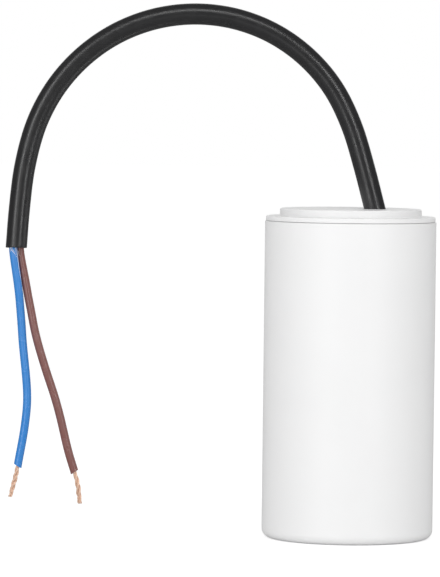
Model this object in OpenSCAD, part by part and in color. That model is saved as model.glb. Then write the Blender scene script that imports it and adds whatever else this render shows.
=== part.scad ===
// Motor run capacitor in a round moulded plastic can.
// A stepped push-in cap closes the can, and a black two-core cable leaves it through an
// off-centre hole. The cable arches over to one side and hangs down to two stripped cores.
// Frame: the origin is the centre of the can's base and +Z is the can's axis.
// All sizes are in millimetres.

/* [Case] */
// Outside diameter of the can
case_d = 50; // [44:0.5:60]
// Height of the can, from its base to its rim
case_h = 92.7; // [84:0.1:125]
// Thickness of the can's side wall
case_wall = 1.6; // [1.2:0.1:2.4]
// Thickness of the can's floor
base_t = 2; // [1.6:0.1:3]
// Rounding between the can's base and its side
base_round = 2.6; // [1:0.1:4]
// Rounding inside the can, between its floor and its wall
inner_round = 1.4; // [0.6:0.1:2]
// Small bevel on the can's rim and under the cap, which makes the dark line at the joint
rim_bevel = 0.3; // [0.15:0.05:0.5]

/* [Cap] */
// How far the cap's flange stays inside the can's outside face
flange_inset = 0.25; // [0.1:0.05:0.8]
// Thickness of the cap's flange
flange_t = 1.4; // [1.2:0.1:3]
// Width of the step between the flange's edge and the raised plateau
step_w = 4.05; // [2:0.05:7]
// Height of the plateau above the flange
plateau_h = 2.2; // [1:0.1:4]
// Rounding of the cap's outer edges
cap_round = 0.5; // [0.2:0.05:0.8]
// Small fillet where the plateau rises from the flange
step_fillet = 0.3; // [0.1:0.05:0.6]
// Depth of the push-in ring below the flange
spigot_h = 4; // [3:0.5:7]
// Wall of the push-in ring
spigot_wall = 1.6; // [1.2:0.1:2.5]
// Gap between the push-in ring and the can
spigot_clear = 0.05; // [0.03:0.01:0.15]
// Bevel that leads the push-in ring into the can
spigot_lead = 0.6; // [0.3:0.1:1]

/* [Cable] */
// Outside diameter of the black sheath
sheath_d = 6.2; // [5.4:0.1:6.6]
// Distance of the cable from the can's axis, on the cap's top face
cable_x = 7; // [4:0.5:9]
// Lean of the cable and of its hole away from upright, in degrees
cable_lean = 15; // [0:1:18]
// Gap all round the sheath in the cap's hole
hole_clear = 0.15; // [0.1:0.05:0.4]
// Outside diameter of an insulated core
core_d = 2.4; // [2:0.1:2.5]
// Distance between the centres of the two cores in the sheath
core_pitch = 2.5; // [2.5:0.1:3]
// Diameter of the bare twisted strands
strand_d = 1.4; // [1:0.1:1.6]
// Depth of the sheath's hidden end below the cap's top face
sheath_depth = 12.5; // [10:0.5:14]

/* [Wound element] */
// Thickness of resin below the wound element
element_lift = 5; // [4:0.5:8]
// Thickness of resin round the side of the wound element
side_gap = 1.6; // [1:0.1:3]
// Room for the leads between the sheath's hidden end and the wound element
lead_room = 13.8; // [13:0.1:20]
// Thickness of the plain film wrapped round the roll
wrap_t = 0.4; // [0.2:0.1:0.6]
// Thickness of the sprayed metal on each end of the roll
spray_t = 0.6; // [0.4:0.1:1]
// Outside diameter of the tube that the film is wound on
mandrel_d = 8; // [7.5:0.1:10]
// Bore of the tube that the film is wound on
mandrel_bore = 5.2; // [4.6:0.1:5.6]
// Diameter of the bare wire at the inner end of each lead
wire_d = 1.1; // [0.8:0.1:1.2]
// Length of bare wire at the inner end of each lead
wire_len = 3; // [2.5:0.1:4]
// Distance of the upper solder joint's middle from the roll's edge
joint_inset = 8.9; // [6:0.1:9]
// Diameter of the solder joint on the upper end of the roll
joint_d = 6; // [5:0.5:8]
// Height of the solder joint on the upper end of the roll
joint_h = 1.5; // [1:0.1:2]
// Diameter of the solder joint under the tube's lower mouth
lower_joint_d = 13; // [11:0.5:16]
// Height of the solder joint under the tube's lower mouth
lower_joint_h = 1.2; // [0.8:0.1:2]

/* [Hidden] */

// Round faces of revolution and cylinders.
$fn = 96;
// Steps in a quarter of a rounded edge.
ROUND_STEPS = 6;
// Reach of a cutter past the face that it opens.
OVER = 1;
// Turn of the two cores about the sheath's axis at its cut end, in degrees. The blue
// core comes out in front of the brown one.
CORE_TURN = 42;

// Radii.
case_r = case_d / 2;
bore_r = case_r - case_wall;
flange_r = case_r - flange_inset;
plateau_r = flange_r - step_w;
spigot_r = bore_r - spigot_clear;
wrap_r = bore_r - side_gap;
roll_r = wrap_r - wrap_t;
sheath_r = sheath_d / 2;
core_r = core_d / 2;

// Heights.
flange_z = case_h + flange_t;
top_z = flange_z + plateau_h;
resin_z = case_h - spigot_h;
element_z0 = base_t + element_lift;
element_z1 = top_z - sheath_depth - lead_room;
roll_z0 = element_z0 + spray_t;
roll_z1 = element_z1 - spray_t;

// ---- points and rings ----

// Points of an arc about [cx, cz] in a profile, from angle a0 to angle a1.
function arc(cx, cz, r, a0, a1) = [
    for (i = [0:ROUND_STEPS])
        let (a = a0 + (a1 - a0) * i / ROUND_STEPS)
        [cx + r * cos(a), cz + r * sin(a)]
];

function unit(v) = v / norm(v);

// Direction of a route at point i, from the points on each side of it.
function heading(route, i) =
    let (last = len(route) - 1)
    unit(route[min(i + 1, last)] - route[max(i - 1, 0)]);

// The sideways direction of a cable: square to its heading and to the Y axis.
function sideways(t) = unit(cross(t, [0, 1, 0]));

// One ring of a round cable about the point p, square to the heading t.
function ring(p, t, r, sides) =
    let (s = sideways(t), u = cross(t, s))
    [for (k = [0:sides - 1]) p + r * (cos(360 * k / sides) * s + sin(360 * k / sides) * u)];

// The rings of a route from point i0 to point i1. The first point of the whole route
// takes the heading start, so that its flat end lies in the plane of what it meets.
function rings(route, start, r, sides, i0, i1) = [
    for (i = [i0:i1])
        ring(route[i], i == 0 ? start : heading(route, i), r, sides)
];

// A closed tube through a list of rings.
module tube(list) {
    n = len(list[0]);
    m = len(list);
    points = [for (one = list) for (p = one) p];
    sides = [
        for (i = [0:m - 2], k = [0:n - 1])
            let (a = i * n + k, b = i * n + (k + 1) % n)
            for (f = [[a, a + n, b + n], [a, b + n, b]]) f
    ];
    first_end = [for (k = [0:n - 1]) k];
    last_end = [for (k = [n - 1:-1:0]) (m - 1) * n + k];
    polyhedron(points = points, faces = concat(sides, [first_end], [last_end]));
}

// ---- cable route ----

// A point on the leaning axis of the cable's hole, at a depth below the cap's top face.
function on_hole_axis(depth) =
    [cable_x + depth * tan(cable_lean), 0, top_z - depth];

// The sheath past the cap, measured from where it leaves the top face.
SHEATH_ARCH = [
    [-3.5, 0, 13], [-7, 0, 24], [-13, -0.3, 35.7], [-21.5, -0.5, 45],
    [-30.5, -0.7, 51], [-41.5, -1, 55], [-54.5, -1.4, 56.2], [-66.5, -1.8, 54.2],
    [-77, -2.1, 49.7], [-85.5, -2.6, 43.5], [-93, -3.2, 35], [-98, -3.7, 26],
    [-102, -4.5, 12], [-103.5, -5.3, -0.5], [-104.3, -6, -12.4]
];
exit_point = on_hole_axis(0);
sheath_route = concat(
    [on_hole_axis(sheath_depth), on_hole_axis(top_z - resin_z), exit_point],
    [for (p = SHEATH_ARCH) exit_point + p]
);
sheath_last = len(sheath_route) - 1;
inner_heading = heading(sheath_route, 0);
outer_heading = heading(sheath_route, sheath_last);

// The free cores, measured from the middle of the sheath's cut end. The bare strands
// go on from the last point of each.
BLUE_RUN = [
    [-0.3, -0.8, -4.5], [0.4, -0.6, -9.1], [1, -0.4, -13.6], [1.4, -0.2, -18.1],
    [1.8, -0.1, -22.7], [2.1, 0, -27.2], [2.6, 0, -31.8], [3.1, 0, -36.4],
    [3.5, 0, -40.9], [3.6, 0, -45.5], [3.2, 0, -50], [2.6, 0, -54.6],
    [1.8, 0, -59.1], [1, 0, -63.6]
];
BLUE_STRANDS = [[0.5, 0, -66.7], [-0.4, 0, -69.8], [-1.2, 0, -72.9]];
BROWN_RUN = [
    [1.7, 0.8, -4.7], [2.7, 0.6, -9.4], [3.6, 0.4, -14.2], [4.6, 0.2, -18.9],
    [5.5, 0.1, -23.6], [6.7, 0, -28.2], [8.1, 0, -32.8], [9.6, 0, -37.4],
    [11.2, 0, -42], [12.6, 0, -46.6], [13.8, 0, -51.2], [14.9, 0, -55.9],
    [16.1, 0, -60.5], [17.6, 0, -65.1]
];
BROWN_STRANDS = [[18.5, 0, -68.2], [19, 0, -71.4], [19.3, 0, -74.6]];

// A core starts beside the middle of the sheath's end and follows its run.
function core_route(run, side) =
    let (
        cut = sheath_route[sheath_last],
        across = sideways(outer_heading),
        front = cross(outer_heading, across)
    )
    concat(
        [cut + side * core_pitch / 2 * (cos(CORE_TURN) * across - sin(CORE_TURN) * front)],
        [for (p = run) cut + p]
    );
blue_route = core_route(concat(BLUE_RUN, BLUE_STRANDS), -1);
brown_route = core_route(concat(BROWN_RUN, BROWN_STRANDS), 1);

// The hidden leads inside the can, from the sheath's inner end down to the roll.
upper_joint_x = roll_r - joint_inset;
inner_end = on_hole_axis(sheath_depth);
function lead_start(side) =
    inner_end + side * core_pitch / 2 * sideways(inner_heading);
wire_top_z = element_z1 + wire_len;
wire_bottom_z = element_z0 - lower_joint_h;
lead_top_route = [
    lead_start(-1),
    lead_start(-1) + [0.7, 0, -2.8],
    [upper_joint_x, 0, inner_end[2] - 5.5],
    [upper_joint_x, 0, wire_top_z]
];
lead_bottom_route = [
    lead_start(1),
    lead_start(1) + [0.2, 0, -2.1],
    lead_start(1) + [-0.7, 0, -4.9],
    lead_start(1) + [-2.7, 0, -7.1],
    [4.2, 0, element_z1 + 4.8],
    [2, 0, element_z1 + 3],
    [0.7, 0, element_z1 + 0.7],
    [0, 0, element_z1 - 2.2],
    [0, 0, wire_bottom_z + wire_len]
];

// ---- sub-parts ----

// The outline of the can's inside, from its floor up to height z, without its wall.
function can_inside(z) = concat(
    [[0, base_t]],
    arc(bore_r - inner_round, base_t + inner_round, inner_round, -90, 0),
    [[bore_r, z], [0, z]]
);

// The moulded can: a deep cup with a rounded base and a plain rim.
module case() {
    outside = concat(
        [[0, 0]],
        arc(case_r - base_round, base_round, base_round, -90, 0),
        [[case_r, case_h - rim_bevel], [case_r - rim_bevel, case_h], [0, case_h]]
    );
    color("white")
    rotate_extrude()
    difference() {
        polygon(outside);
        polygon(can_inside(case_h + OVER));
    }
}

// The stepped cap: flange, plateau and push-in ring in one moulding.
module cap() {
    ring_in = spigot_r - spigot_wall;
    outline = concat(
        [
            [0, case_h], [ring_in, case_h], [ring_in, resin_z],
            [spigot_r - spigot_lead, resin_z], [spigot_r, resin_z + spigot_lead],
            [spigot_r, case_h], [flange_r - rim_bevel, case_h]
        ],
        [[flange_r, case_h + rim_bevel]],
        arc(flange_r - cap_round, flange_z - cap_round, cap_round, 0, 90),
        arc(plateau_r + step_fillet, flange_z + step_fillet, step_fillet, 270, 180),
        arc(plateau_r - cap_round, top_z - cap_round, cap_round, 0, 90),
        [[0, top_z]]
    );
    color("whitesmoke")
    difference() {
        rotate_extrude() polygon(outline);
        cable_hole();
    }
}

// The leaning hole that the cable leaves through.
module cable_hole() {
    reach = (top_z - case_h) / cos(cable_lean) + OVER + sheath_d;
    translate(exit_point)
    rotate([0, -cable_lean, 0])
    translate([0, 0, -reach])
    cylinder(h = 2 * reach, r = sheath_r + hole_clear);
}

// The cast resin that fills the can round the wound element and grips the cable.
module potting_resin() {
    color("dimgray")
    difference() {
        rotate_extrude() polygon(can_inside(resin_z));
        element_space();
        cylinder_between(upper_joint_x, joint_d, element_z1, element_z1 + joint_h);
        cylinder_between(0, lower_joint_d, wire_bottom_z, element_z0);
        tube(rings(sheath_route, inner_heading, sheath_r, 12, 0, 2));
        lead_body(lead_top_route, -1);
        lead_body(lead_bottom_route, 1);
        wire_body(upper_joint_x, element_z1, wire_top_z);
        wire_body(0, wire_bottom_z, wire_bottom_z + wire_len);
    }
}

// The room that the roll, its wrap, its tube and its sprayed ends take in the resin.
module element_space() {
    difference() {
        cylinder_between(0, 2 * wrap_r, element_z0, element_z1);
        cylinder_between(0, mandrel_bore, element_z0 - OVER, element_z1 + OVER);
    }
}

// An upright cylinder at x, between two heights.
module cylinder_between(x, d, z0, z1) {
    translate([x, 0, z0]) cylinder(h = z1 - z0, d = d);
}

// An upright pipe on the can's axis, between two heights.
module pipe_between(outer_d, inner_d, z0, z1) {
    difference() {
        cylinder_between(0, outer_d, z0, z1);
        cylinder_between(0, inner_d, z0 - OVER, z1 + OVER);
    }
}

// The metallised film, wound tight: all its turns are one solid.
module film_roll() {
    color("lightgray") pipe_between(2 * roll_r, mandrel_d, roll_z0, roll_z1);
}

// Plain film wrapped round the roll, over its sprayed ends too.
module roll_wrap() {
    color("lightyellow") pipe_between(2 * wrap_r, 2 * roll_r, element_z0, element_z1);
}

// The plastic tube that the film is wound on.
module roll_tube() {
    color("ivory") pipe_between(mandrel_d, mandrel_bore, element_z0, element_z1);
}

// Sprayed metal that joins the edges of the film at the roll's upper end.
module end_spray_top() {
    color("silver") pipe_between(2 * roll_r, mandrel_d, roll_z1, element_z1);
}

// Sprayed metal that joins the edges of the film at the roll's lower end.
module end_spray_bottom() {
    color("silver") pipe_between(2 * roll_r, mandrel_d, element_z0, roll_z0);
}

// Solder that holds the blue lead's wire on the upper sprayed end.
module solder_top() {
    color("gainsboro")
    difference() {
        cylinder_between(upper_joint_x, joint_d, element_z1, element_z1 + joint_h);
        cylinder_between(upper_joint_x, wire_d, element_z1 - OVER, wire_top_z);
    }
}

// Solder across the tube's lower mouth, from the brown lead's wire to the sprayed end.
module solder_bottom() {
    color("gainsboro")
    pipe_between(lower_joint_d, wire_d, wire_bottom_z, element_z0);
}

// The insulated part of a hidden lead.
module lead_body(route, side) {
    tube(rings(route, -inner_heading, core_r, 8, 0, len(route) - 1));
}

// The bare wire at the inner end of a lead.
module wire_body(x, z0, z1) {
    cylinder_between(x, wire_d, z0, z1);
}

module lead_top() {
    color("dodgerblue") lead_body(lead_top_route, -1);
}

module lead_bottom() {
    color("sienna") lead_body(lead_bottom_route, 1);
}

module lead_wire_top() {
    color("peru") wire_body(upper_joint_x, element_z1, wire_top_z);
}

module lead_wire_bottom() {
    color("peru") wire_body(0, wire_bottom_z, wire_bottom_z + wire_len);
}

// The black sheath, from the resin, up through the cap and over to its cut end.
module cable_sheath() {
    color("black")
    tube(rings(sheath_route, inner_heading, sheath_r, 12, 0, sheath_last));
}

// The insulated part of a free core.
module free_core(route, run) {
    tube(rings(route, outer_heading, core_r, 8, 0, len(run)));
}

// The bare strands at the end of a free core, twisted into one.
module free_strands(route, run) {
    tube(rings(route, outer_heading, strand_d / 2, 8, len(run), len(route) - 1));
}

module core_blue() {
    color("royalblue") free_core(blue_route, BLUE_RUN);
}

module core_brown() {
    color("saddlebrown") free_core(brown_route, BROWN_RUN);
}

module strands_blue() {
    color("peru") free_strands(blue_route, BLUE_RUN);
}

module strands_brown() {
    color("peru") free_strands(brown_route, BROWN_RUN);
}

case();
cap();
potting_resin();
film_roll();
roll_wrap();
roll_tube();
end_spray_top();
end_spray_bottom();
solder_top();
solder_bottom();
lead_top();
lead_bottom();
lead_wire_top();
lead_wire_bottom();
cable_sheath();
core_blue();
core_brown();
strands_blue();
strands_brown();
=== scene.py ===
"""Motor run capacitor: a white moulded can, a stepped cap and a black two-core cable."""

import math

import bpy
import numpy as np
from mathutils import Matrix, Vector


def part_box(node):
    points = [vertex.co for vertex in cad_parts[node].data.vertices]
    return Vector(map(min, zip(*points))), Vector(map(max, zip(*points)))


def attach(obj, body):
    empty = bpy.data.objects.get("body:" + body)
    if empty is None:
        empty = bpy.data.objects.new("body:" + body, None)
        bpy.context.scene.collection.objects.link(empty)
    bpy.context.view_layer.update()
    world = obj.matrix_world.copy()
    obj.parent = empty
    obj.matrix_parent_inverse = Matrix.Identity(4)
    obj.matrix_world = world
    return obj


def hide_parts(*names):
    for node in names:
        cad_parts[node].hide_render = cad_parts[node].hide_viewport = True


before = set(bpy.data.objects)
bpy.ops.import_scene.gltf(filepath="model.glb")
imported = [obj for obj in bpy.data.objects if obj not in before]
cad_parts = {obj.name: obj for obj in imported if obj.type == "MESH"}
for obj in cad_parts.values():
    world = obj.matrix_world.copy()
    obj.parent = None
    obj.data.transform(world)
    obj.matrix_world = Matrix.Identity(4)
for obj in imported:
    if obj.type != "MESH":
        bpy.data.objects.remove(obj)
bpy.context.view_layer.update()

# ---- Camera ----
# A long lens looks almost level at the can from the front, a little above its cap.
# It is turned and tilted by a few degrees, so the can stands right of the middle.

camera_place = Vector((-0.0004, -1.286, 0.1312))
camera_turn = -0.0292
camera_tilt = -0.0456
camera_roll = 0.0112

ahead = Vector((
    math.sin(camera_turn) * math.cos(camera_tilt),
    math.cos(camera_turn) * math.cos(camera_tilt),
    math.sin(camera_tilt),
))
level = Vector((math.cos(camera_turn), -math.sin(camera_turn), 0.0))
upward = level.cross(ahead)
right = math.cos(camera_roll) * level + math.sin(camera_roll) * upward
upward = math.cos(camera_roll) * upward - math.sin(camera_roll) * level

lens = bpy.data.cameras.new("camera")
lens.lens = 274.8
lens.sensor_width = 36.0
lens.clip_start = 0.05
lens.clip_end = 20.0
camera = bpy.data.objects.new("camera", lens)
bpy.context.scene.collection.objects.link(camera)
camera.matrix_world = Matrix((
    (right.x, upward.x, -ahead.x, camera_place.x),
    (right.y, upward.y, -ahead.y, camera_place.y),
    (right.z, upward.z, -ahead.z, camera_place.z),
    (0.0, 0.0, 0.0, 1.0),
))
bpy.context.scene.camera = camera
bpy.context.scene.view_settings.view_transform = "Standard"

# ---- Cable sheath ----
# Soft black PVC, drawn round two cores. It is potted into the can, comes up through
# the leaning hole in the cap, arches over and ends in a square cut.

top_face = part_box("cap")[1][2]
hole_x = 0.007
hole_lean = math.radians(15.0)
sheath_diameter = 0.0062
sheath_bore = 0.0049
sheath_depth = 0.0125


def on_hole_axis(depth):
    """A point on the leaning axis of the cable's hole, at a depth below the cap's top."""
    return (hole_x + depth * math.tan(hole_lean), 0.0, top_face - depth)


sheath_exit = np.array(on_hole_axis(0.0))
sheath_arch = np.array([
    (-3.5, 0, 13), (-7, 0, 24), (-13, -0.3, 35.7), (-21.5, -0.5, 45),
    (-30.5, -0.7, 51), (-41.5, -1, 55), (-54.5, -1.4, 56.2), (-66.5, -1.8, 54.2),
    (-77, -2.1, 49.7), (-85.5, -2.6, 43.5), (-93, -3.2, 35), (-98, -3.7, 26),
    (-102, -4.5, 12), (-103.5, -5.3, -0.5), (-104.3, -6, -12.4),
]) / 1000.0
sheath_route = np.vstack([
    on_hole_axis(sheath_depth), on_hole_axis(0.0076), on_hole_axis(0.0),
    sheath_exit + sheath_arch,
])


def smooth_route(points, step=0.0005):
    """A smooth curve through the points, cut into equal steps.

    Between points b and c, with neighbours a and d, the place at t in 0..1 is the
    Hermite blend of b and c, whose slopes are the chords a-c and b-d over their spans.
    """
    p = np.asarray(points, float)
    span = np.linalg.norm(np.diff(p, axis=0), axis=1)
    knot = np.concatenate([[0.0], np.cumsum(span)])
    slope = np.gradient(p, knot, axis=0, edge_order=1)
    s = np.arange(0.0, knot[-1], step / 4)
    i = np.clip(np.searchsorted(knot, s, side="right") - 1, 0, len(span) - 1)
    h = span[i][:, None]
    t = ((s - knot[i]) / span[i])[:, None]
    dense = (
        (2 * t**3 - 3 * t**2 + 1) * p[i] + (t**3 - 2 * t**2 + t) * h * slope[i]
        + (-2 * t**3 + 3 * t**2) * p[i + 1] + (t**3 - t**2) * h * slope[i + 1]
    )
    dense = np.vstack([dense, p[-1]])
    run = np.concatenate([[0.0], np.cumsum(np.linalg.norm(np.diff(dense, axis=0), axis=1))])
    even = np.linspace(0.0, run[-1], max(8, int(round(run[-1] / step)) + 1))
    return np.stack([np.interp(even, run, dense[:, k]) for k in range(3)], axis=1)


def soften(curve, passes):
    """Round off small kinks: each pass moves every inner point to (a + 2b + c) / 4."""
    for _ in range(passes):
        curve = curve.copy()
        curve[1:-1] = (curve[:-2] + 2 * curve[1:-1] + curve[2:]) / 4
    return curve


def route_frame(curve, s):
    """Place, heading, side and top of a curve at distances s along it.

    The side is square to the heading and to the Y axis, and the top is square to both.
    """
    run = np.concatenate([[0.0], np.cumsum(np.linalg.norm(np.diff(curve, axis=0), axis=1))])
    slope = np.gradient(curve, run, axis=0)
    place = np.stack([np.interp(s, run, curve[:, k]) for k in range(3)], axis=1)
    head = np.stack([np.interp(s, run, slope[:, k]) for k in range(3)], axis=1)
    head /= np.linalg.norm(head, axis=1, keepdims=True)
    side = np.cross(head, [0.0, 1.0, 0.0])
    side /= np.linalg.norm(side, axis=1, keepdims=True)
    return place, head, side, np.cross(head, side)


def piece_from(name, places, faces):
    """A smooth mesh object from its places and faces, linked into the scene."""
    mesh = bpy.data.meshes.new(name)
    mesh.from_pydata(places.tolist(), [], faces)
    mesh.polygons.foreach_set("use_smooth", [True] * len(mesh.polygons))
    mesh.update()
    piece = bpy.data.objects.new(name, mesh)
    bpy.context.scene.collection.objects.link(piece)
    return piece


def skin(name, grid, lay=None):
    """A closed surface from a grid of rings, each a row of places.

    Four neighbours make a face, the last place of a ring joins the first, and each end
    is closed by a fan to the middle of its ring. lay holds a place on the unrolled
    surface for each grid place, and is kept as an attribute for the material.
    """
    rows, cols, _ = grid.shape
    places = np.vstack([grid.reshape(-1, 3), grid[0].mean(axis=0), grid[-1].mean(axis=0)])
    i, k = np.meshgrid(np.arange(rows - 1), np.arange(cols), indexing="ij")
    k2 = (k + 1) % cols
    quads = np.stack([i * cols + k, i * cols + k2, (i + 1) * cols + k2, (i + 1) * cols + k], -1)
    c = np.arange(cols)
    c2 = (c + 1) % cols
    first, last = rows * cols, rows * cols + 1
    fans = [(first, int(b), int(a)) for a, b in zip(c, c2)]
    fans += [(last, int(a), int(b)) for a, b in zip(c + (rows - 1) * cols, c2 + (rows - 1) * cols)]
    piece = piece_from(name, places, quads.reshape(-1, 4).tolist() + fans)
    if lay is not None:
        flat = np.vstack([lay.reshape(-1, 3), lay[0].mean(axis=0), lay[-1].mean(axis=0)])
        kept = piece.data.attributes.new("lay", "FLOAT_VECTOR", "POINT")
        kept.data.foreach_set("vector", flat.astype(np.float32).ravel())
    return piece


def swept(name, curve, s, radius, sides, slant=0.0):
    """A round skin along a curve: ring j lies at distance s[j] with radius[j].

    Its place at angle a is p + r (cos a side + sin a top). A slant leans the rings near
    the end, by moving each place along the heading by slant times its reach to the side.
    """
    s, radius = np.asarray(s, float), np.asarray(radius, float)
    place, head, side, top = route_frame(curve, s)
    a = np.linspace(0.0, 2 * math.pi, sides, endpoint=False)
    ca, sa = np.cos(a), np.sin(a)
    out = radius[:, None, None] * (
        ca[None, :, None] * side[:, None, :] + sa[None, :, None] * top[:, None, :]
    )
    near = np.clip(1.0 - (s.max() - s) / 0.004, 0.0, 1.0)
    lean = slant * near[:, None] * radius[:, None] * ca[None, :]
    grid = place[:, None, :] + out + lean[:, :, None] * head[:, None, :]
    lay = np.stack([
        radius[:, None] * ca[None, :], radius[:, None] * sa[None, :],
        np.repeat(s[:, None], sides, axis=1),
    ], axis=-1)
    return skin(name, grid, lay)


def cut_end(length, start, outer, inner, depth, edge, step):
    """Rings of a pipe with an open end: out along the skin, over the cut edge, back in.

    The skin runs from start to length in equal steps, the edge is a quarter round of
    radius edge, and the bore goes back in by depth.
    """
    turn = np.linspace(0.0, math.pi / 2, 5)
    s = np.concatenate([
        np.arange(start, length - edge, step),
        length - edge + edge * np.sin(turn),
        [length, length - edge * 0.4],
        np.linspace(length - edge, length - depth, 8),
    ])
    r = np.concatenate([
        np.full(len(np.arange(start, length - edge, step)), outer),
        outer - edge + edge * np.cos(turn),
        [inner + edge * 0.4, inner],
        np.full(8, inner),
    ])
    return s, r


sheath_curve = soften(smooth_route(sheath_route), 20)
sheath_run = float(np.linalg.norm(np.diff(sheath_curve, axis=0), axis=1).sum())
s, r = cut_end(
    sheath_run, 0.0, sheath_diameter / 2, sheath_bore / 2, 0.012, 0.00018, 0.0005
)
sheath = swept("sheath", sheath_curve, s, r, 64, -0.055)


def socket(group, name, kind, way, value=None):
    """One named socket on a node group's face, with its usual value."""
    made = group.interface.new_socket(name=name, in_out=way, socket_type=kind)
    if value is not None:
        made.default_value = value
    return made


def mix_colour(tree, fac, a, b, blend="MIX"):
    """A colour mix node. a and b are sockets or plain colours."""
    node = tree.nodes.new("ShaderNodeMix")
    node.data_type = "RGBA"
    node.blend_type = blend
    for key, value in ((0, fac), (6, a), (7, b)):
        if isinstance(value, bpy.types.NodeSocket):
            tree.links.new(value, node.inputs[key])
        else:
            node.inputs[key].default_value = value
    return node.outputs[2]


def sum_up(tree, how, a, b, clamp=False):
    """A maths node. a and b are sockets or plain numbers."""
    node = tree.nodes.new("ShaderNodeMath")
    node.operation = how
    node.use_clamp = clamp
    for key, value in ((0, a), (1, b)):
        if isinstance(value, bpy.types.NodeSocket):
            tree.links.new(value, node.inputs[key])
        else:
            node.inputs[key].default_value = value
    return node.outputs[0]


def noise(tree, vector, scale, detail=2.0, rough=0.5):
    """A noise texture's grey value at a scale in waves a metre."""
    node = tree.nodes.new("ShaderNodeTexNoise")
    node.inputs["Scale"].default_value = scale
    node.inputs["Detail"].default_value = detail
    node.inputs["Roughness"].default_value = rough
    tree.links.new(vector, node.inputs["Vector"])
    return node.outputs["Fac"]


def spread(tree, value, low, high):
    """A value from 0..1 spread over low..high."""
    node = tree.nodes.new("ShaderNodeMapRange")
    node.inputs["To Min"].default_value = low
    node.inputs["To Max"].default_value = high
    tree.links.new(value, node.inputs["Value"])
    return node.outputs[0]


def new_group(name, inputs):
    """A node group with named inputs that gives a colour, a roughness and a height."""
    group = bpy.data.node_groups.new(name, "ShaderNodeTree")
    for key, value in inputs.items():
        kind = "NodeSocketColor" if isinstance(value, tuple) else "NodeSocketFloat"
        socket(group, key, kind, "INPUT", value)
    socket(group, "Color", "NodeSocketColor", "OUTPUT")
    socket(group, "Roughness", "NodeSocketFloat", "OUTPUT")
    socket(group, "Height", "NodeSocketFloat", "OUTPUT")
    return group, group.nodes.new("NodeGroupInput"), group.nodes.new("NodeGroupOutput")


def make_drawn_skin():
    """Group for a drawn PVC skin: faint lines along its length, bloom and dull patches.

    It reads the skin laid straight, so that the lines follow every bend.
    """
    group, start, end = new_group("drawn_skin", {
        "Color": (0.02, 0.02, 0.02, 1), "Bloom": (0.05, 0.05, 0.05, 1), "Roughness": 0.4,
    })
    lay = group.nodes.new("ShaderNodeAttribute")
    lay.attribute_name = "lay"
    drawn = group.nodes.new("ShaderNodeMapping")
    drawn.inputs["Scale"].default_value = (1.0, 1.0, 0.02)
    group.links.new(lay.outputs["Vector"], drawn.inputs["Vector"])
    lines = noise(group, drawn.outputs["Vector"], 2600.0, 3.0)
    patches = noise(group, lay.outputs["Vector"], 260.0, 3.0)
    specks = noise(group, lay.outputs["Vector"], 3800.0, 2.0)
    bloom = sum_up(group, "MULTIPLY", spread(group, patches, -0.9, 1.2), 0.35, True)
    group.links.new(
        mix_colour(group, bloom, start.outputs["Color"], start.outputs["Bloom"]),
        end.inputs["Color"],
    )
    dull = spread(group, patches, -0.12, 0.12)
    group.links.new(
        sum_up(group, "ADD", start.outputs["Roughness"], dull, True), end.inputs["Roughness"]
    )
    relief = sum_up(group, "ADD", lines, sum_up(group, "MULTIPLY", specks, 0.5))
    group.links.new(relief, end.inputs["Height"])
    return group


drawn_skin = make_drawn_skin()


def finish_with(name, group, values, shader, relief=0.1, depth=0.00002):
    """A material whose colour, roughness and bump come from a group.

    values sets the group's inputs, and shader sets plain values on the Principled BSDF.
    """
    material = bpy.data.materials.new(name)
    material.use_nodes = True
    tree = material.node_tree
    bsdf = tree.nodes["Principled BSDF"]
    for key, value in shader.items():
        bsdf.inputs[key].default_value = value
    made = tree.nodes.new("ShaderNodeGroup")
    made.node_tree = group
    for key, value in values.items():
        made.inputs[key].default_value = value
    bump = tree.nodes.new("ShaderNodeBump")
    bump.inputs["Strength"].default_value = relief
    bump.inputs["Distance"].default_value = depth
    tree.links.new(made.outputs["Color"], bsdf.inputs["Base Color"])
    tree.links.new(made.outputs["Roughness"], bsdf.inputs["Roughness"])
    tree.links.new(made.outputs["Height"], bump.inputs["Height"])
    tree.links.new(bump.outputs["Normal"], bsdf.inputs["Normal"])
    return material


black_pvc = finish_with(
    "black_pvc", drawn_skin,
    {"Color": (0.011, 0.011, 0.012, 1), "Bloom": (0.018, 0.018, 0.020, 1), "Roughness": 0.31},
    {"Specular IOR Level": 0.85}, 0.25,
)
sheath.data.materials.append(black_pvc)
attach(sheath, "root")
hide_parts("cable_sheath")

# ---- Two insulated cores ----
# Each is a stranded copper conductor in a thin PVC skin, blue or brown. They part as
# they leave the sheath, hang down and are stripped at their ends.

core_diameter = 0.0024
core_pitch = 0.0025
core_turn = math.radians(42.0)
strands_across = 0.0014
cut_place = sheath_route[-1]
cut_heading = sheath_curve[-1] - sheath_curve[-8]
cut_heading /= np.linalg.norm(cut_heading)
cut_side = np.cross(cut_heading, [0.0, 1.0, 0.0])
cut_side /= np.linalg.norm(cut_side)
cut_front = np.cross(cut_heading, cut_side)
core_offset = core_pitch / 2 * (
    math.cos(core_turn) * cut_side - math.sin(core_turn) * cut_front
)

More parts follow.
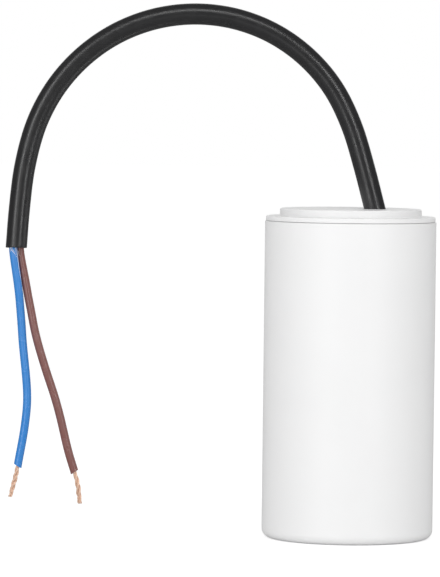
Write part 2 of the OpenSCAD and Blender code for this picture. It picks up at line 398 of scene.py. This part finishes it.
blue_run = [
    (-0.3, -0.8, -4.5), (0.4, -0.6, -9.1), (1, -0.4, -13.6), (1.4, -0.2, -18.1),
    (1.8, -0.1, -22.7), (2.1, 0, -27.2), (2.6, 0, -31.8), (3.1, 0, -36.4),
    (3.5, 0, -40.9), (3.6, 0, -45.5), (3.2, 0, -50), (2.6, 0, -54.6),
    (1.8, 0, -59.1), (1, 0, -63.6),
]
blue_strands = [(0.5, 0, -66.7), (-0.4, 0, -69.8), (-1.2, 0, -72.9)]
brown_run = [
    (1.7, 0.8, -4.7), (2.7, 0.6, -9.4), (3.6, 0.4, -14.2), (4.6, 0.2, -18.9),
    (5.5, 0.1, -23.6), (6.7, 0, -28.2), (8.1, 0, -32.8), (9.6, 0, -37.4),
    (11.2, 0, -42), (12.6, 0, -46.6), (13.8, 0, -51.2), (14.9, 0, -55.9),
    (16.1, 0, -60.5), (17.6, 0, -65.1),
]
brown_strands = [(18.5, 0, -68.2), (19, 0, -71.4), (19.3, 0, -74.6)]


def core_curves(run, strands, side):
    """The insulated curve and the bare curve of a core, from points in millimetres.

    The core lies beside the sheath's middle for a short way inside it.
    """
    start = cut_place + side * core_offset
    inside = start - 0.006 * cut_heading
    free = cut_place + np.array(run + strands) / 1000.0
    whole = soften(smooth_route(np.vstack([inside, start, free])), 20)
    stop = cut_place + np.array(run[-1]) / 1000.0
    k = int(np.argmin(np.linalg.norm(whole - stop, axis=1)))
    return whole[: k + 1], whole[k:]


def insulated(name, curve, slant, node, finish):
    """One core's PVC skin, with a cut end round the bare strands."""
    run = float(np.linalg.norm(np.diff(curve, axis=0), axis=1).sum())
    s, r = cut_end(run, 0.0, core_diameter / 2, strands_across / 2, 0.003, 0.0001, 0.0005)
    piece = swept(name, curve, s, r, 40, slant)
    piece.data.materials.append(finish)
    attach(piece, "root")
    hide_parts(node)
    return piece


blue_pvc = finish_with(
    "blue_pvc", drawn_skin,
    {"Color": (0.027, 0.215, 0.60, 1), "Bloom": (0.045, 0.26, 0.66, 1), "Roughness": 0.25},
    {"Specular IOR Level": 0.85}, 0.2,
)
brown_pvc = finish_with(
    "brown_pvc", drawn_skin,
    {"Color": (0.205, 0.080, 0.070, 1), "Bloom": (0.26, 0.12, 0.11, 1), "Roughness": 0.26},
    {"Specular IOR Level": 0.85}, 0.2,
)
blue_curve, blue_bare = core_curves(blue_run, blue_strands, -1)
brown_curve, brown_bare = core_curves(brown_run, brown_strands, 1)
blue_core = insulated("core_blue_skin", blue_curve, 0.4, "core_blue", blue_pvc)
brown_core = insulated(
    "core_brown_skin", brown_curve, -0.3, "core_brown", brown_pvc
)

# ---- Bare strands ----
# The stripped end of each core: two dozen fine copper wires, twisted by hand into
# three loose bunches that open out a little towards the tip.

wire_diameter = 0.00022


def tubes(name, grids):
    """Thin closed tubes in one mesh: each grid is a row of rings with flat ends."""
    faces, places, base = [], [], 0
    for grid in grids:
        rows, sides, _ = grid.shape
        i, k = np.meshgrid(np.arange(rows - 1), np.arange(sides), indexing="ij")
        k2 = (k + 1) % sides
        quads = np.stack(
            [i * sides + k, i * sides + k2, (i + 1) * sides + k2, (i + 1) * sides + k], -1
        )
        faces += (quads.reshape(-1, 4) + base).tolist()
        faces.append([base + j for j in range(sides - 1, -1, -1)])
        faces.append([base + (rows - 1) * sides + j for j in range(sides)])
        places.append(grid.reshape(-1, 3))
        base += rows * sides
    return piece_from(name, np.vstack(places), faces)


def twisted(name, curve, turns, seed, node):
    """A bundle of wires about a curve.

    Wire w of bunch b lies at bunch radius R turned by the twist t(s), plus its own
    small circle inside the bunch turned twice as fast. The tip opens out and frays.
    """
    rng = np.random.default_rng(seed)
    run = float(np.linalg.norm(np.diff(curve, axis=0), axis=1).sum())
    sides, rows, inset = 8, 60, 0.0025
    grids = []
    for wire in range(24):
        bunch, within = wire % 3, wire // 3
        length = run - abs(rng.normal(0.0, 0.0004))
        s = np.linspace(-inset, length, rows)
        place, head, side, top = route_frame(curve, np.clip(s, 0.0, None))
        place = place + np.clip(s, None, 0.0)[:, None] * head
        along = np.clip(s / run, 0.0, 1.0)
        swell = 0.55 + 0.45 * np.sin(math.pi * np.clip(along * 1.15, 0.0, 1.0))
        twist = 2 * math.pi * (turns * along + bunch / 3.0)
        inner = 2 * math.pi * (turns * 1.7 * along + within / 7.0)
        wide = 0.00040 * swell + 0.00004
        near = 0.0 if within == 0 else 0.00021
        fray = rng.normal(0.0, 0.00012, 2)[None, :] * along[:, None] ** 3
        x = wide * np.cos(twist) + near * np.cos(inner) + fray[:, 0]
        y = wide * np.sin(twist) + near * np.sin(inner) + fray[:, 1]
        middle = place + x[:, None] * side + y[:, None] * top
        slope = np.gradient(middle, axis=0)
        slope /= np.linalg.norm(slope, axis=1, keepdims=True)
        across = np.cross(slope, [0.0, 1.0, 0.0])
        across /= np.linalg.norm(across, axis=1, keepdims=True)
        over = np.cross(slope, across)
        a = np.linspace(0.0, 2 * math.pi, sides, endpoint=False)
        grids.append(middle[:, None, :] + wire_diameter / 2 * (
            np.cos(a)[None, :, None] * across[:, None, :]
            + np.sin(a)[None, :, None] * over[:, None, :]
        ))
    piece = tubes(name, grids)
    piece.data.materials.append(copper)
    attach(piece, "root")
    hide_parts(node)
    return piece


def make_worn_metal():
    """Group for bare metal: slow tone patches, fine scratches and dull spots."""
    group, start, end = new_group("worn_metal", {
        "Color": (0.8, 0.5, 0.4, 1), "Tarnish": (0.4, 0.2, 0.1, 1),
        "Roughness": 0.35, "Size": 900.0,
    })
    where = group.nodes.new("ShaderNodeTexCoord")
    patches = group.nodes.new("ShaderNodeTexNoise")
    group.links.new(where.outputs["Object"], patches.inputs["Vector"])
    group.links.new(start.outputs["Size"], patches.inputs["Scale"])
    fine = noise(group, where.outputs["Object"], 6000.0, 3.0)
    mask = sum_up(group, "MULTIPLY", spread(group, patches.outputs["Fac"], -0.8, 1.4), 0.5, True)
    group.links.new(
        mix_colour(group, mask, start.outputs["Color"], start.outputs["Tarnish"]),
        end.inputs["Color"],
    )
    group.links.new(
        sum_up(group, "ADD", start.outputs["Roughness"], spread(group, fine, -0.1, 0.1), True),
        end.inputs["Roughness"],
    )
    group.links.new(fine, end.inputs["Height"])
    return group


worn_metal = make_worn_metal()
copper = finish_with(
    "copper", worn_metal,
    {"Color": (0.93, 0.66, 0.50, 1), "Tarnish": (0.74, 0.42, 0.29, 1), "Roughness": 0.30},
    {"Metallic": 0.35, "Specular IOR Level": 0.8}, 0.1, 0.00001,
)
blue_bundle = twisted("blue_strands_twisted", blue_bare, 1.5, 11, "strands_blue")
brown_bundle = twisted("brown_strands_twisted", brown_bare, 1.3, 23, "strands_brown")

# ---- Talc threads ----
# White talc keeps the sheath from sticking to the cores. A few fine threads of filler,
# in a white talc finish, show between them where the sheath was cut back.


def talc_threads(name, seed):
    """Thin threads laid on the cores, from inside the cut sheath downwards.

    A thread on a core is p(t) + R (cos a side + sin a top), where the distance along
    the core and the angle a run between two values and R is just over the core's radius.
    """
    rng = np.random.default_rng(seed)
    sides, rows = 6, 30
    grids = []
    # Core, first and last distance in mm, first and last angle in degrees, thickness in mm.
    laid = [
        (blue_curve, 5.2, 9.0, 128, 38, 0.17), (blue_curve, 5.4, 8.0, 104, 60, 0.13),
        (blue_curve, 5.0, 19.0, 33, 21, 0.12), (blue_curve, 5.4, 8.6, 60, 30, 0.12),
        (brown_curve, 5.2, 9.4, 128, 146, 0.13), (brown_curve, 6.6, 8.4, 118, 96, 0.10),
        (brown_curve, 5.4, 12.0, 152, 150, 0.09), (blue_curve, 5.6, 7.4, 150, 112, 0.10),
    ]
    for curve, s0, s1, a0, a1, thick in laid:
        t = np.linspace(0.0, 1.0, rows)
        place, head, side, top = route_frame(curve, (s0 + (s1 - s0) * t) / 1000.0)
        a = np.radians(a0 + (a1 - a0) * t**1.4 + 5.0 * np.sin(9.0 * t + rng.uniform(0, 6)))
        reach = core_diameter / 2 + thick * 0.0004 * (1.0 + 0.3 * np.sin(7.0 * t))
        middle = place + reach[:, None] * (
            np.cos(a)[:, None] * side + np.sin(a)[:, None] * top
        )
        radius = thick / 2000.0 * (0.35 + 0.65 * np.sin(math.pi * np.clip(t + 0.2, 0, 1)))
        a = np.linspace(0.0, 2 * math.pi, sides, endpoint=False)
        grids.append(middle[:, None, :] + radius[:, None, None] * (
            np.cos(a)[None, :, None] * side[:, None, :]
            + np.sin(a)[None, :, None] * top[:, None, :]
        ))
    return tubes(name, grids)


def make_moulded_skin():
    """Group for moulded or cast plastic: slow tone drift, fine grain and dull patches."""
    group, start, end = new_group("moulded_skin", {
        "Color": (0.85, 0.85, 0.85, 1), "Shade": (0.80, 0.80, 0.80, 1), "Roughness": 0.4,
    })
    where = group.nodes.new("ShaderNodeTexCoord")
    drift = noise(group, where.outputs["Object"], 45.0, 2.0)
    grain = noise(group, where.outputs["Object"], 3200.0, 3.0)
    waves = noise(group, where.outputs["Object"], 160.0, 2.0)
    group.links.new(
        mix_colour(group, spread(group, drift, 0.0, 1.0), start.outputs["Color"],
                   start.outputs["Shade"]),
        end.inputs["Color"],
    )
    group.links.new(
        sum_up(group, "ADD", start.outputs["Roughness"], spread(group, waves, -0.06, 0.06), True),
        end.inputs["Roughness"],
    )
    group.links.new(
        sum_up(group, "ADD", sum_up(group, "MULTIPLY", grain, 0.4), waves), end.inputs["Height"]
    )
    return group


moulded_skin = make_moulded_skin()
talc = finish_with(
    "talc", moulded_skin,
    {"Color": (0.90, 0.90, 0.90, 1), "Shade": (0.80, 0.80, 0.82, 1), "Roughness": 0.8},
    {"Specular IOR Level": 0.2}, 0.2,
)
threads = talc_threads("talc_threads", 5)
threads.data.materials.append(talc)
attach(threads, "root")

# ---- Can ----
# One injection-moulded cup of white polypropylene with a satin face. Its base has a
# rounded edge, and its rim has a fine bevel that shows as a dark line under the cap.

can_low, can_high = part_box("case")
can_radius = (can_high[0] - can_low[0]) / 2
can_height = can_high[2]
can_wall = 0.0016
can_floor = 0.002
base_round = 0.0026
inner_round = 0.0014
rim_bevel = 0.00016
joint_gap = 0.0001


def arc(cx, cz, r, a0, a1, steps=10):
    """Profile points on an arc about (cx, cz), from angle a0 to a1 in degrees."""
    a = np.radians(np.linspace(a0, a1, steps + 1))
    return np.stack([cx + r * np.cos(a), cz + r * np.sin(a)], axis=1)


def turned(name, profile, sides=256):
    """A surface of revolution about Z from a profile of (radius, height).

    Ring j holds (r cos a, r sin a, z), and skin() closes the two ends on the axis.
    """
    profile = np.asarray(profile, float)
    a = np.linspace(0.0, 2 * math.pi, sides, endpoint=False)
    grid = np.stack([
        profile[:, 0, None] * np.cos(a)[None, :],
        profile[:, 0, None] * np.sin(a)[None, :],
        np.repeat(profile[:, 1, None], sides, axis=1),
    ], axis=-1)
    return skin(name, grid)


def flats(points, crowd=0.00012):
    """Profile points with two more close to each end of every long straight stretch.

    They hold the smooth shading to the small rounds, so that the flats stay flat.
    """
    out = [points[0]]
    for a, b in zip(points[:-1], points[1:]):
        span = float(np.linalg.norm(b - a))
        if span > 6 * crowd:
            step = (b - a) / span * crowd
            out += [a + step, b - step]
        out.append(b)
    return np.array(out)


can_profile = flats(np.vstack([
    [(0.0015, 0.0)],
    arc(can_radius - base_round, base_round, base_round, -90, 0, 16),
    arc(can_radius - rim_bevel, can_height - joint_gap - rim_bevel, rim_bevel, 0, 90, 4),
    [(can_radius - can_wall, can_height - joint_gap)],
    arc(can_radius - can_wall - inner_round, can_floor + inner_round, inner_round, 0, -90, 6),
    [(0.0015, can_floor)],
]))
can = turned("can", can_profile)
white_plastic = finish_with(
    "white_plastic", moulded_skin,
    {"Color": (0.84, 0.84, 0.84, 1), "Shade": (0.81, 0.81, 0.812, 1), "Roughness": 0.42},
    {"Specular IOR Level": 0.45}, 0.06, 0.00003,
)
can.data.materials.append(white_plastic)
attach(can, "root")
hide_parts("case")

# ---- Cap ----
# A stepped lid moulded in the same white plastic: a flange, a raised plateau and a
# ring that pushes into the can. The cable's hole leans through it.

cap_low, cap_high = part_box("cap")
flange_radius = (cap_high[0] - cap_low[0]) / 2
flange_top = can_height + 0.0014
plateau_radius = 0.0207
cap_round = 0.00035
step_fillet = 0.0003
spigot_radius = can_radius - can_wall - 0.00005
spigot_wall = 0.0016
spigot_lead = 0.0006
spigot_low = cap_low[2]
hole_radius = sheath_diameter / 2 + 0.00015
hole_lip = 0.00015


def hole_ring(depth, grow, a):
    """The leaning hole's edge on a level face at a depth below the top.

    A round hole that leans by L is an ellipse there, longer by 1 / cos L along X.
    """
    x, _, z = on_hole_axis(depth)
    reach = hole_radius + grow
    return np.stack([
        x + reach / math.cos(hole_lean) * np.cos(a), reach * np.sin(a), np.full(len(a), z)
    ], axis=-1)


def make_cap(sides=256):
    """The cap as one closed skin: rings run from the hole's lip out over the top,
    down the steps and the push-in ring, in under the lid and up the hole again."""
    a = np.linspace(0.0, 2 * math.pi, sides, endpoint=False)
    under_lid = cap_high[2] - can_height
    lip = [
        hole_ring(hole_lip * (1 - math.sin(t)), hole_lip * (1 - math.cos(t)), a)
        for t in np.linspace(0.0, math.pi / 2, 5)
    ]
    outside = flats(np.vstack([
        arc(plateau_radius - cap_round, cap_high[2] - cap_round, cap_round, 90, 0, 8),
        arc(plateau_radius + step_fillet, flange_top + step_fillet, step_fillet, 180, 270, 5),
        arc(flange_radius - cap_round, flange_top - cap_round, cap_round, 90, 0, 8),
        arc(flange_radius - rim_bevel, can_height + rim_bevel, rim_bevel, 0, -90, 4),
        [
            (spigot_radius, can_height), (spigot_radius, spigot_low + spigot_lead),
            (spigot_radius - spigot_lead, spigot_low),
            (spigot_radius - spigot_wall, spigot_low),
            (spigot_radius - spigot_wall, can_height),
        ],
    ]))
    rings = np.stack([
        outside[:, 0, None] * np.cos(a)[None, :],
        outside[:, 0, None] * np.sin(a)[None, :],
        np.repeat(outside[:, 1, None], sides, axis=1),
    ], axis=-1)
    spread_top = [
        lip[-1] + (rings[0] - lip[-1]) * t for t in (0.01, 0.1, 0.3, 0.6, 0.9, 0.99)
    ]
    under = hole_ring(under_lid, 0.0, a)
    spread_under = [rings[-1] + (under - rings[-1]) * t for t in (0.02, 0.5, 0.98)]
    wall = [under + (lip[0] - under) * t for t in (0.0, 0.03, 0.5, 0.97)]
    grid = np.array(lip + spread_top + list(rings) + spread_under + wall)
    rows = len(grid)
    i, k = np.meshgrid(np.arange(rows), np.arange(sides), indexing="ij")
    i2, k2 = (i + 1) % rows, (k + 1) % sides
    quads = np.stack([i * sides + k, i2 * sides + k, i2 * sides + k2, i * sides + k2], -1)
    return piece_from("lid", grid.reshape(-1, 3), quads.reshape(-1, 4).tolist())


lid = make_cap()
lid.data.materials.append(white_plastic)
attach(lid, "root")
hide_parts("cap")

# ---- Insides ----
# The wound film roll with its wrap, tube, sprayed ends, soldered leads and cast resin.
# They are sealed in, and show only where the can is cut open or taken off.

inside_finishes = {
    "potting_resin": (moulded_skin, (0.055, 0.055, 0.06, 1), (0.04, 0.04, 0.045, 1), 0.35, 0.0),
    "film_roll": (moulded_skin, (0.60, 0.62, 0.64, 1), (0.52, 0.54, 0.57, 1), 0.22, 0.8),
    "roll_wrap": (moulded_skin, (0.80, 0.79, 0.70, 1), (0.74, 0.73, 0.64, 1), 0.25, 0.0),
    "roll_tube": (moulded_skin, (0.78, 0.76, 0.68, 1), (0.72, 0.70, 0.62, 1), 0.45, 0.0),
    "end_spray_top": (worn_metal, (0.50, 0.51, 0.53, 1), (0.36, 0.37, 0.39, 1), 0.65, 0.9),
    "solder_top": (worn_metal, (0.68, 0.69, 0.70, 1), (0.50, 0.50, 0.51, 1), 0.30, 1.0),
    "lead_wire_top": (worn_metal, (0.86, 0.56, 0.42, 1), (0.62, 0.33, 0.22, 1), 0.34, 0.9),
    "lead_top": (moulded_skin, (0.040, 0.265, 0.68, 1), (0.06, 0.30, 0.70, 1), 0.34, 0.0),
    "lead_bottom": (moulded_skin, (0.235, 0.10, 0.092, 1), (0.28, 0.13, 0.12, 1), 0.36, 0.0),
}
same_finish = {
    "end_spray_bottom": "end_spray_top",
    "solder_bottom": "solder_top",
    "lead_wire_bottom": "lead_wire_top",
}
inside_materials = {}
for node, (group, colour, other, rough, metal) in inside_finishes.items():
    second = "Tarnish" if group == worn_metal else "Shade"
    inside_materials[node] = finish_with(
        node + "_finish", group, {"Color": colour, second: other, "Roughness": rough},
        {"Metallic": metal}, 0.3,
    )
for node in list(inside_finishes) + list(same_finish):
    material = inside_materials[same_finish.get(node, node)]
    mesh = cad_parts[node].data
    mesh.materials.clear()
    mesh.materials.append(material)

# ---- Floor, backdrop and lamps ----
# A plain white table under a plain white sky. Two tall soft boxes, one above and a
# small low one give the can its slow shading and the cable its bright lines.

floor_mesh = bpy.data.meshes.new("floor")
floor_mesh.from_pydata([(-6, -6, 0), (6, -6, 0), (6, 6, 0), (-6, 6, 0)], [], [(0, 1, 2, 3)])
floor = bpy.data.objects.new("floor", floor_mesh)
bpy.context.scene.collection.objects.link(floor)
table = bpy.data.materials.new("table")
table.use_nodes = True
tree = table.node_tree
tree.nodes.clear()
seen = tree.nodes.new("ShaderNodeLightPath")
plain = tree.nodes.new("ShaderNodeBsdfDiffuse")
plain.inputs["Color"].default_value = (0.90, 0.90, 0.90, 1)
mirrored = tree.nodes.new("ShaderNodeBsdfDiffuse")
mirrored.inputs["Color"].default_value = (0.25, 0.25, 0.25, 1)
shadowed = tree.nodes.new("ShaderNodeBsdfDiffuse")
shadowed.inputs["Color"].default_value = (0.45, 0.45, 0.45, 1)
glow = tree.nodes.new("ShaderNodeEmission")
glow.inputs["Color"].default_value = (1, 1, 1, 1)
glow.inputs["Strength"].default_value = 0.70
together = tree.nodes.new("ShaderNodeAddShader")
unseen = tree.nodes.new("ShaderNodeMixShader")
choose = tree.nodes.new("ShaderNodeMixShader")
out = tree.nodes.new("ShaderNodeOutputMaterial")
either = sum_up(
    tree, "ADD", seen.outputs["Is Camera Ray"], seen.outputs["Is Transmission Ray"], True
)
tree.links.new(shadowed.outputs[0], together.inputs[0])
tree.links.new(glow.outputs[0], together.inputs[1])
tree.links.new(seen.outputs["Is Glossy Ray"], unseen.inputs[0])
tree.links.new(plain.outputs[0], unseen.inputs[1])
tree.links.new(mirrored.outputs[0], unseen.inputs[2])
tree.links.new(either, choose.inputs[0])
tree.links.new(unseen.outputs[0], choose.inputs[1])
tree.links.new(together.outputs[0], choose.inputs[2])
tree.links.new(choose.outputs[0], out.inputs[0])
floor_mesh.materials.append(table)

world = bpy.data.worlds.new("studio")
bpy.context.scene.world = world
world.use_nodes = True
sky = world.node_tree
sky.nodes.clear()
path_seen = sky.nodes.new("ShaderNodeLightPath")
bright = sky.nodes.new("ShaderNodeBackground")
bright.inputs["Color"].default_value = (1, 1, 1, 1)
bright.inputs["Strength"].default_value = 1.0
soft = sky.nodes.new("ShaderNodeBackground")
soft.inputs["Color"].default_value = (1, 1, 1, 1)
soft.inputs["Strength"].default_value = 0.69
dim = sky.nodes.new("ShaderNodeBackground")
dim.inputs["Color"].default_value = (1, 1, 1, 1)
dim.inputs["Strength"].default_value = 0.14
reflected = sky.nodes.new("ShaderNodeMixShader")
pick = sky.nodes.new("ShaderNodeMixShader")
sky_out = sky.nodes.new("ShaderNodeOutputWorld")
shown = sum_up(sky, "ADD", path_seen.outputs["Is Camera Ray"],
               path_seen.outputs["Is Transmission Ray"], True)
where = sky.nodes.new("ShaderNodeTexCoord")
parts = sky.nodes.new("ShaderNodeSeparateXYZ")
behind = sky.nodes.new("ShaderNodeMapRange")
behind.inputs["From Min"].default_value = 0.78
behind.inputs["From Max"].default_value = 0.92
behind.inputs["To Min"].default_value = 0.14
behind.inputs["To Max"].default_value = 1.0
sky.links.new(where.outputs["Generated"], parts.inputs[0])
sky.links.new(parts.outputs["Y"], behind.inputs["Value"])
sky.links.new(behind.outputs[0], dim.inputs["Strength"])
sky.links.new(path_seen.outputs["Is Glossy Ray"], reflected.inputs[0])
sky.links.new(soft.outputs[0], reflected.inputs[1])
sky.links.new(dim.outputs[0], reflected.inputs[2])
sky.links.new(shown, pick.inputs[0])
sky.links.new(reflected.outputs[0], pick.inputs[1])
sky.links.new(bright.outputs[0], pick.inputs[2])
sky.links.new(pick.outputs[0], sky_out.inputs[0])


def soft_box(name, place, aim, wide, high, power):
    """A rectangular lamp at a place, turned to face a point."""
    data = bpy.data.lights.new(name, "AREA")
    data.shape = "RECTANGLE"
    data.size = wide
    data.size_y = high
    data.energy = power
    lamp = bpy.data.objects.new(name, data)
    bpy.context.scene.collection.objects.link(lamp)
    lamp.location = place
    lamp.rotation_euler = (Vector(aim) - Vector(place)).to_track_quat("-Z", "Y").to_euler()
    return lamp


middle = (-0.03, 0.0, 0.08)
soft_box("left_box", (-0.78, -0.95, 0.40), middle, 0.20, 1.0, 3.1)
soft_box("right_box", (0.78, -1.05, 0.40), middle, 0.14, 1.0, 3.1)
soft_box("top_box", (0.0, -0.85, 0.95), middle, 0.9, 0.16, 2.3)
soft_box("low_box", (-0.24, -0.55, 0.055), (0.0, 0.0, 0.12), 0.10, 0.10, 0.16)
